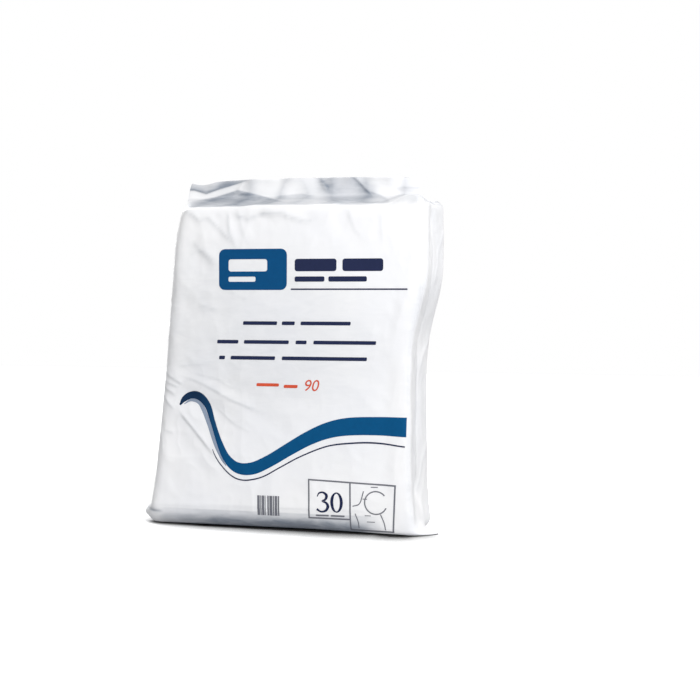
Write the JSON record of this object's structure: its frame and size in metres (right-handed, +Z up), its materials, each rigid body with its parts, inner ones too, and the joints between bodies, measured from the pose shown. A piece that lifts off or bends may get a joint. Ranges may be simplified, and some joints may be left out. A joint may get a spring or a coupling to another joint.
{
  "type": "sealed pack of urine drainage bags",
  "caption": "Upright sealed white film pack of folded bedside drainage bags, with side gussets, a flat welded fin on top and folded ears at the base.",
  "frame": {"origin": "middle of the pack's bounding box, on the floor that its base rests on", "axes": "+Z up to the welded fin, printed face towards -Y, pack's width along X"},
  "size_m": [0.3124, 0.09, 0.3465],
  "materials": {
    "film": "soft gloss white polythene film"
  },
  "bodies": {
    "root": {"sealed_pack": "film"}
  },
  "joints": []
}
